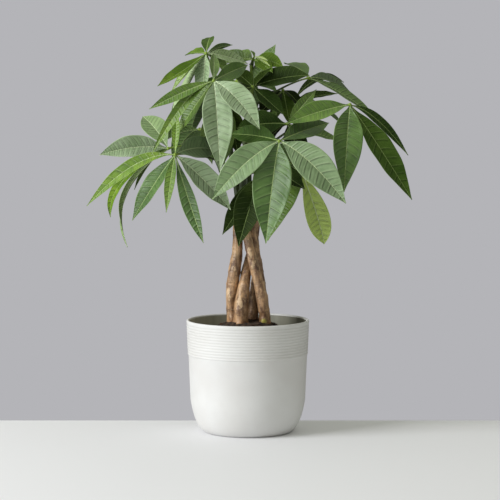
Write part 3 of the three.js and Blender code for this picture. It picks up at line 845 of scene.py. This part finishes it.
def closed_rings(rings, start, end):
    """Rings of points joined into one skin and closed by a point at each end: points and faces"""
    rows, sides = rings.shape[:2]
    points = np.concatenate([rings.reshape(-1, 3), [start, end]])
    faces = grid_faces(rows, sides, True)
    first, last = rows * sides, rows * sides + 1
    top = (rows - 1) * sides
    faces += [(first, (i + 1) % sides, i) for i in range(sides)]
    faces += [(last, top + i, top + (i + 1) % sides) for i in range(sides)]
    return points, faces


def tube(centres, radii, sides):
    return closed_rings(tube_rings(centres, radii, sides), centres[0], centres[-1])


def path_through(places, steps):
    """Points and radii along a centripetal curve through (x, y, z, radius) places"""
    places = np.array(places, dtype=float)
    knots = np.sqrt(np.linalg.norm(np.diff(places[:, :3], axis=0), axis=1))
    padded = np.vstack([2 * places[0] - places[1], places, 2 * places[-1] - places[-2]])
    gaps = np.concatenate([knots[:1], knots, knots[-1:]])
    rows = []
    for at in np.linspace(0, len(places) - 1, steps + 1):
        i = min(int(at), len(places) - 2)
        t = at - i
        p0, p1, p2, p3 = padded[i:i + 4]
        g0, g1, g2 = gaps[i:i + 3]
        start = ((p1 - p0) / g0 - (p2 - p0) / (g0 + g1) + (p2 - p1) / g1) * g1
        end = ((p2 - p1) / g1 - (p3 - p1) / (g1 + g2) + (p3 - p2) / g2) * g1
        rows.append(between(t, p1, start, p2, end))
    rows = np.array(rows)
    return rows[:, :3], rows[:, 3]


# The pot

def foot_curve(inset, steps):
    """From the foot round the shoulder: the outside, or the inside with the wall as inset"""
    ends = np.array([
        (POT_FOOT_RADIUS - inset, POT_FLOOR if inset else 0),
        (FOOT_BULGE_RADIUS - inset, FOOT_BULGE_Z + inset),
        (POT_SHOULDER_RADIUS - inset, POT_SHOULDER_Z + inset),
    ])
    return bezier(*ends, np.linspace(0, 1, steps + 1)).tolist()


def band_radius(z):
    """The band's radius at a height, over the crests of its ribs"""
    slope = (RIM_RADIUS - BAND_BOTTOM_RADIUS) / (POT_HEIGHT - BAND_BOTTOM_Z)
    return BAND_BOTTOM_RADIUS + (z - BAND_BOTTOM_Z) * slope


def band_rows():
    """The ribbed band's outline, from the step at its bottom edge upwards"""
    rows = [(BAND_BOTTOM_RADIUS + outward, BAND_BOTTOM_Z + up) for outward, up in BAND_STEP]
    for z in np.arange(BAND_BOTTOM_Z + BAND_FIRST_ROW, RIBS_TOP_Z, RIB_PITCH / RIB_ROWS):
        groove = 0
        if z > RIBS_BOTTOM_Z:
            turn = 2 * math.pi * (z - RIBS_BOTTOM_Z) / RIB_PITCH
            groove = RIB_DEPTH * (0.5 - 0.5 * math.cos(turn)) ** RIB_ROUNDNESS
        rows.append((band_radius(z) - groove, z))
    return rows


def lip_rows():
    """The rounded lip's outline, from a little under its outer edge to under its inner one"""
    middle = RIM_RADIUS - LIP / 2
    rows = []
    for turn in np.linspace(*LIP_TURN_DEG, LIP_ROWS):
        outward = math.cos(math.radians(turn)) * LIP / 2
        lift = math.sin(math.radians(turn)) * LIP_DROP
        rows.append((middle + outward, POT_HEIGHT - LIP_DROP + lift))
    return rows


def pot_profile():
    """The pot's outline from under the foot, up the ribbed band, over the lip and down
    inside"""
    ring_inner = POT_FOOT_RADIUS - FOOT_RING_WIDTH
    points = [
        (CENTRE_RADIUS, FOOT_HOLLOW),
        (ring_inner - FOOT_RING_SLOPE, FOOT_HOLLOW),
        (ring_inner, FOOT_RING_EDGE),
    ]
    points += foot_curve(0, steps=26) + band_rows() + lip_rows()
    points.append((BAND_BOTTOM_RADIUS - POT_WALL, BAND_BOTTOM_Z))
    points += foot_curve(POT_WALL, steps=6)[::-1]
    points.append((CENTRE_RADIUS, POT_FLOOR))
    return points


def groove_depth(points):
    """How deep a place on the pot lies in a groove of the band, from 0 to 1"""
    x, y, z = points.T
    depth = np.clip((band_radius(z) - np.hypot(x, y)) / RIB_DEPTH, 0, 1)
    return depth * ((z > RIBS_BOTTOM_Z) & (z < RIBS_TOP_Z))


def lathe(profile, sides):
    """Points and faces of a profile of (radius, height) turned about Z"""
    angle = np.linspace(0, 2 * math.pi, sides, endpoint=False)
    profile = np.array(profile)
    rings = np.empty((len(profile), sides, 3))
    rings[..., 0] = profile[:, :1] * np.cos(angle)
    rings[..., 1] = profile[:, :1] * np.sin(angle)
    rings[..., 2] = profile[:, 1:]
    return closed_rings(rings, (0, 0, profile[0, 1]), (0, 0, profile[-1, 1]))


def add_pot():
    profile = pot_profile()
    points, faces = lathe(profile, POT_SIDES)
    lip_row = max(range(len(profile)), key=lambda row: profile[row][1])
    inside = [int(face[1] // POT_SIDES > lip_row + INNER_GLAZE_ROWS) for face in faces]
    looks = [ceramic_material(), inner_wall_material()]
    # Painted light: 1 at -X, falling to 0 at +X
    painted_left_light = 0.5 - 0.5 * points[:, 0] / RIM_RADIUS
    # The groove depth says where the band gets painted shade
    floats = {"painted_left_light": painted_left_light, "groove": groove_depth(points)}
    pot = add_piece("pot_glazed", points, faces, looks, inside, floats)
    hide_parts("pot")


# The soil

def soil_height(x, y):
    """A mound in the middle with low waves over it"""
    mound_span = MOUND_FOOT_RADIUS - MOUND_CREST_RADIUS
    share = np.clip((np.hypot(x, y) - MOUND_CREST_RADIUS) / mound_span, 0, 1)
    outward = share * share * (3 - 2 * share)
    lumps = np.sin(x * 0.21 + 1) * np.cos(y * 0.19) + 0.6 * np.sin(x * 0.11 - y * 0.31)
    return SOIL_EDGE_Z + SOIL_MOUND * (1 - outward) + SOIL_LUMP_HEIGHT * lumps


def rough(x, y, z, scale):
    """Noise from -1 to 1 at a place; scale is the size of its lumps"""
    return noise.noise(Vector((x, y, z)) / scale)


def soil_wall_radius():
    wall_bottom = BAND_BOTTOM_RADIUS - POT_WALL
    slope = (RIM_RADIUS - LIP - wall_bottom) / (POT_HEIGHT - LIP_DROP - BAND_BOTTOM_Z)
    return wall_bottom + slope * (SOIL_EDGE_Z - BAND_BOTTOM_Z) - GAP


def add_soil(material):
    """Loose potting soil: a lumpy mound that fills the pot to under its rim"""
    edge = soil_wall_radius()
    profile = [(CENTRE_RADIUS, POT_FLOOR + GAP)]
    profile += [(radius - GAP, z + GAP) for radius, z in foot_curve(POT_WALL, steps=4)]
    profile += [(BAND_BOTTOM_RADIUS - POT_WALL - GAP, BAND_BOTTOM_Z)]
    wall_rows = len(profile)
    profile += [(edge * (1 - row / SOIL_RINGS), SOIL_EDGE_Z) for row in range(SOIL_RINGS)]
    points, faces = lathe(profile, SOIL_SIDES)
    bottom_point = points[-2].copy()
    top = points[wall_rows * SOIL_SIDES:]
    top[:, 2] = soil_height(top[:, 0], top[:, 1])
    for point in top:
        x, y, _ = point
        point[2] += sum(rise * rough(x, y, layer, size) for rise, layer, size in SOIL_ROUGHNESS)
    points[-2] = bottom_point
    soil = add_piece("soil_mound", points, faces, [material])
    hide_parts("soil")


def crumb(random):
    """The eight corners of one small rough block on the soil"""
    radius = (soil_wall_radius() - CRUMBS_OFF_WALL) * math.sqrt(random.uniform(0, 1))
    angle = random.uniform(0, 2 * math.pi)
    x, y = radius * math.cos(angle), radius * math.sin(angle)
    length = random.uniform(*CRUMB_SIZES)
    size = length * np.array([1, random.uniform(*CRUMB_WIDTHS), random.uniform(*CRUMB_HEIGHTS)])
    corners = np.array([(i, j, k) for i in (-1, 1) for j in (-1, 1) for k in (-1, 1)], dtype=float)
    shift = random.uniform(-CRUMB_CORNER_SHIFT, CRUMB_CORNER_SHIFT, corners.shape)
    turn = random.uniform(0, math.pi)
    lean = random.uniform(-CRUMB_LEAN, CRUMB_LEAN)
    x_axis = unit(np.array([math.cos(turn), math.sin(turn), lean]))
    y_axis = unit(np.cross((0, 0, 1), x_axis))
    axes = np.array([x_axis, y_axis, np.cross(x_axis, y_axis)])
    centre = np.array([x, y, float(soil_height(x, y)) + CRUMB_RISE * size[2]])
    return (corners + shift) * size @ axes + centre


def add_crumbs(material, random):
    """Crumbs and bark chips strewn over the soil"""
    sides = ((0, 1, 3, 2), (4, 6, 7, 5), (0, 4, 5, 1), (2, 3, 7, 6), (0, 2, 6, 4), (1, 5, 7, 3))
    points, faces = [], []
    for _ in range(CRUMB_COUNT):
        faces += [tuple(len(points) + i for i in side) for side in sides]
        points += crumb(random).tolist()
    add_piece("soil_crumbs", points, faces, [material])


# Stems and shoots

def knob_swell(knob, z, angle):
    height, turn, size, rise = knob
    around = (angle + math.pi / 2 - math.radians(turn) + math.pi) % (2 * math.pi) - math.pi
    far = ((z - height) / size) ** 2 + (around * STEM_USUAL_RADIUS / size) ** 2
    return rise * math.exp(-far)


def bark_swell(name, place, angle, t):
    """How far the bark stands out at a place: long ridges, lumps, scars where leaves
    fell, the root's flare and knobs; t goes from 0 at the bottom to 1 at the top. The
    length of the stem's name shifts the pattern, so that stems differ."""
    x, y, z = place
    across, back = math.cos(angle), math.sin(angle)
    shift = len(name)
    ridge = RIDGE_HEIGHT * rough(across * 6 + x, back * 6 + y, z * 0.22, RIDGE_SIZE)
    lump = BARK_LUMP_HEIGHT * rough(across * 8, back * 8 + shift * 13, z * 0.6, BARK_LUMP_SIZE)
    wobble = SCAR_WOBBLE * rough(across * 3, back * 3, z, 11)
    scar_turn = 2 * math.pi * (z + wobble) / SCAR_SPACING
    scar = SCAR_HEIGHT * max(0, math.cos(scar_turn)) ** SCAR_THINNESS
    flare = ROOT_FLARE * math.exp(-max(0, z - ROOT_COLLAR_Z) / ROOT_FLARE_FADE)
    flare *= 0.6 + 0.5 * math.cos(3 * angle + shift)
    swell = ridge + lump + scar + flare
    for knob in KNOBS[name]:
        swell += knob_swell(knob, z, angle)
    return swell * min(1, (1 - t) * 12 + 0.3)


def near(points, spot):
    """1 close to a spot on the bark and 0 away from it"""
    if spot is None:
        return np.zeros(len(points))
    place, size = np.array(spot, dtype=float)
    return np.exp(-np.sum(((points - place) / size) ** 2, axis=1) ** 2)


def add_stem(name, material):
    centres, radii = path_through(STEMS[name], STEM_STEPS)
    centres[-1, 2] = STEM_TOP_Z
    angle = np.linspace(0, 2 * math.pi, STEM_SIDES, endpoint=False)
    radii = np.repeat(radii[:, None], STEM_SIDES, axis=1)
    for row, place in enumerate(centres):
        if place[2] < SOIL_EDGE_Z - BURIED_DEPTH:
            continue
        for column, turn in enumerate(angle):
            radii[row, column] += bark_swell(name, place, turn, row / STEM_STEPS)
    radii[-1] *= STEM_TOP_TAPER
    points, faces = tube(centres, radii, STEM_SIDES)
    above_collar = np.maximum(0, points[:, 2] - ROOT_COLLAR_Z)
    floats = {
        "root": ROOT_TINT * np.exp(-above_collar / ROOT_TINT_FADE),
        "bud": near(points, BUDS.get(name)),
        "flake": near(points, FLAKES.get(name)),
    }
    stem = add_piece(f"bark_{name}", points, faces, [material], floats=floats)
    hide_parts(f"stem_{name}")


def shoot_point(name, height):
    """The place on a shoot's middle line that is nearest to a height"""
    centres, _ = path_through(SHOOTS[name], SHOOT_FINE_STEPS)
    return centres[np.argmin(np.abs(centres[:, 2] - height))]


def add_shoot(name, material):
    """A green shoot, with a swelling wherever a leaf's stalk leaves it"""
    centres, radii = path_through(SHOOTS[name], SHOOT_STEPS)
    centres[0, 2] = STEM_TOP_Z + GAP
    for height in [form["height"] for form in LEAVES.values() if form["shoot"] == name]:
        far = (centres[:, 2] - height) / NODE_SIZE
        radii = radii + NODE_SWELL * np.exp(-(far**2))
    radii[-1] *= SHOOT_TIP_TAPER
    points, faces = tube(centres, radii[:, None], SHOOT_SIDES)
    # Greener higher up; the darker lower part is partly painted shade
    ripe = np.clip((points[:, 2] - SHOOT_RIPE_FROM_Z) / SHOOT_RIPE_SPAN, 0, SHOOT_RIPE_MOST)
    shoot = add_piece(f"green_{name}", points, faces, [material], floats={"ripe": ripe})
    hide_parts(f"shoot_{name}")


# Leaves

def blade_axes(hub, facing, spec, t):
    """The rib's points, the directions out of the blade's face and across it, and the
    length from the hub to the tip"""
    tip = spec["tip"]
    length = np.linalg.norm(tip - hub)
    middle = hub + (tip - hub) * spec["reach"]
    middle[2] += spec["arch"] * length * 2
    rib = bezier(hub, middle, tip, t)
    along = unit(2 * (1 - t[:, None]) * (middle - hub) + 2 * t[:, None] * (tip - middle))
    out = facing - np.sum(along * facing, axis=1, keepdims=True) * along
    out = turned_about(unit(out), along, spec["roll"])
    return rib, out, np.cross(along, out), length


def vein_count(t, x, across, half, length, random):
    """How many side veins lie between the hub and each place; the halves differ a little"""
    lag = np.where(across < 0, random.uniform(*VEIN_LAG), 0)
    drift = VEIN_DRIFT * np.sin(2 * math.pi * (1.7 * t + random.uniform(0, 1)))
    return (t * length - VEIN_SLANT * x - VEIN_CURVE * x**2 / half) / (length / VEIN_PAIRS) + lag + drift


def edge_waves(t, across, random):
    """The waves along a leaflet's two edges, from -1 to 1"""
    phase = random.uniform(0, 2 * math.pi, 2)
    count = 2.5 + 2 * phase[0] / 6
    return np.sin(np.where(across < 0, phase[0], phase[1]) + 2 * math.pi * count * t)


def sheet_faces(rows, columns):
    """Faces of a sheet's upper side, its under side and the rim that joins them"""
    count = rows * columns
    upper = np.array(grid_faces(rows, columns, False))
    left = np.arange(rows - 1) * columns
    right = left + columns - 1
    start = np.arange(columns - 1)
    last = start + (rows - 1) * columns
    rims = (
        (left, left + columns, left + columns + count, left + count),
        (right, right + count, right + columns + count, right + columns),
        (start + 1, start, start + count, start + 1 + count),
        (last, last + 1, last + 1 + count, last + count),
    )
    faces = [upper, upper[:, ::-1] + count] + [np.stack(rim, axis=1) for rim in rims]
    return np.concatenate(faces)[:, ::-1]


def blade_mesh(hub, facing, spec, random):
    """A leaflet's points, faces and shading values: quilted between its side veins,
    with a waved edge, as one thin closed body. Rows run along it, columns across it."""
    steps = np.linspace(0, 1, BLADE_STEPS + 1)
    rib, out, side, length = blade_axes(hub, facing, spec, steps)
    t = steps[:, None]
    share = smooth_through(OUTLINE, steps)[:, None]
    across = np.array([-a for a in COLUMNS[:0:-1]] + list(COLUMNS))[None, :]
    size = np.abs(across)
    half = 0.5 * spec["width"]
    reach = np.maximum(half * share, LEAST_HALF_WIDTH)
    x = reach * size
    vein = vein_count(t, x, across, half, length, random)

    fold = BLADE_FOLD * reach * (1.3 * size - 0.3 * size**2)
    pillow = np.abs(np.sin(math.pi * vein)) ** 0.6 - 0.6
    inner = np.clip(size * 7, 0, 1) * np.clip((1 - size) * 5, 0, 1)
    quilting = QUILT_HEIGHT * min(1, half / QUILTED_HALF_WIDTH) ** 2
    quilt = quilting * pillow * inner * np.clip(share, 0, 1)
    wave = EDGE_WAVE * half * edge_waves(t, across, random) * size**3 * np.clip(share * 1.4, 0, 1)
    height = fold + quilt + wave

    thickness = BLADE_THICKNESS * (1 + BASE_THICKENING * np.exp(-((t / BASE_LENGTH) ** 2)))
    keel = KEEL_HEIGHT * np.exp(-((x / KEEL_HALF_WIDTH) ** 2)) * (1 - t) ** 0.6
    x_signed = np.sign(across) * x
    top = rib[:, None] + side[:, None] * x_signed[..., None] + out[:, None] * height[..., None]
    under = top - out[:, None] * (thickness * (1 - 0.5 * size**6) + keel)[..., None]
    points = np.concatenate([top.reshape(-1, 3), under.reshape(-1, 3)])

    count = x.size
    shade = {
        "across": np.tile(across.reshape(-1), 2 * len(t)),
        "vein": np.tile(vein.reshape(-1), 2),
        "under": np.repeat([0.0, 1.0], count),
        "painted_light": np.full(2 * count, spec["painted_light"] + random.uniform(-TONE_SPREAD, TONE_SPREAD)),
        "young_green_and_glow": np.full(2 * count, spec["young_green_and_glow"]),
        "rib": np.tile((x / (RIB_HALF_WIDTH * (1 - 0.6 * t))).reshape(-1), 2),
        "ripe": np.zeros(2 * count),
    }
    return points, sheet_faces(*x.shape), shade


def petiole(start, hub):
    """The stalk, swollen at both ends: points, faces and how yellow-green it is"""
    middle = start + (hub - start) * PETIOLE_MIDDLE
    middle[2] += PETIOLE_ARCH * np.linalg.norm(hub - start)
    t = np.linspace(0, 1, PETIOLE_ROWS)
    radii = PETIOLE_RADIUS + (PETIOLE_TIP_RADIUS - PETIOLE_RADIUS) * t
    radii = radii + PETIOLE_SWELL * np.exp(-((t / PETIOLE_SWELL_LENGTH) ** 2))
    radii = radii + PETIOLE_TIP_SWELL * np.exp(-(((1 - t) / PETIOLE_SWELL_LENGTH) ** 2))
    points, faces = tube(bezier(start, middle, hub, t), radii[:, None], PETIOLE_SIDES)
    # Yellow-green at the hub; the darker rest is partly painted shade
    ripe = np.concatenate([np.repeat(0.1 + 0.8 * t**4, PETIOLE_SIDES), [0.1, 0.9]])
    return points, faces, ripe


def hub_knob(hub, radius):
    turn = np.linspace(HUB_END_TURN, math.pi - HUB_END_TURN, HUB_ROWS)
    centres = hub + np.outer(-np.cos(turn) * radius, (0, 0, 1))
    return tube(centres, (np.sin(turn) * radius)[:, None], HUB_SIDES)


def stalk_mesh(form):
    """The petiole and the knob at the hub"""
    hub = form["hub"]
    points, faces, ripe = petiole(shoot_point(form["shoot"], form["height"]), hub)
    is_young = form["blades"][0]["width"] < YOUNG_BLADE_WIDTH
    knob, knob_faces = hub_knob(hub, HUB_RADIUS * (YOUNG_HUB_SHARE if is_young else 1))
    faces = faces + [tuple(i + len(points) for i in face) for face in knob_faces]
    ripe = np.concatenate([ripe, np.full(len(knob), 0.9)])
    return np.concatenate([points, knob]), faces, ripe


def add_leaf(name, form, materials, random):
    """Materials are for the leaflets, the stalk and the leaflets in shade"""
    points, faces, ripe = stalk_mesh(form)
    floats = {key: [np.zeros(len(points))] for key in ("across", "vein", "rib", "under", "painted_light", "young_green_and_glow")}
    floats["ripe"] = [ripe]
    all_points, count = [points], len(points)
    all_faces, face_materials = [tuple(face) for face in faces], [1] * len(faces)
    for spec in form["blades"]:
        points, faces, shade = blade_mesh(form["hub"], form["facing"], spec, random)
        all_faces += [tuple(face) for face in (faces + count).tolist()]
        # Leaflets in painted shade get the duller, shaded copy of the leaf material
        face_materials += [2 if spec["painted_light"] < SHADED_TONE else 0] * len(faces)
        all_points.append(points)
        count += len(points)
        for key, values in shade.items():
            floats[key].append(values)
    values = {key: np.concatenate(parts) for key, parts in floats.items()}
    piece = add_piece(
        f"{name}_fine", np.concatenate(all_points), all_faces, materials, face_materials, values,
    )
    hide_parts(name)


add_camera()
add_floor()
add_room()
add_key_light()

add_pot()
soil_look = soil_material()
add_soil(soil_look)
add_crumbs(soil_look, np.random.default_rng(CRUMB_SEED))

bark_look = bark_material()
stalk_look = stalk_material()
leaf_looks = [
    leaf_material("leaf", specular=0.6, roughness=0.46),
    stalk_look,
    # The shaded copy of the leaf material, with little specular: painted shade
    leaf_material("leaf_in_shade", specular=0.12, roughness=0.6),
]
for stem_name in STEMS:
    add_stem(stem_name, bark_look)
for shoot_name in SHOOTS:
    add_shoot(shoot_name, stalk_look)
blade_random = np.random.default_rng(BLADE_SEED)
for leaf_name, leaf_spec in LEAVES.items():
    add_leaf(f"leaf_{leaf_name}", leaf_spec, leaf_looks, blade_random)
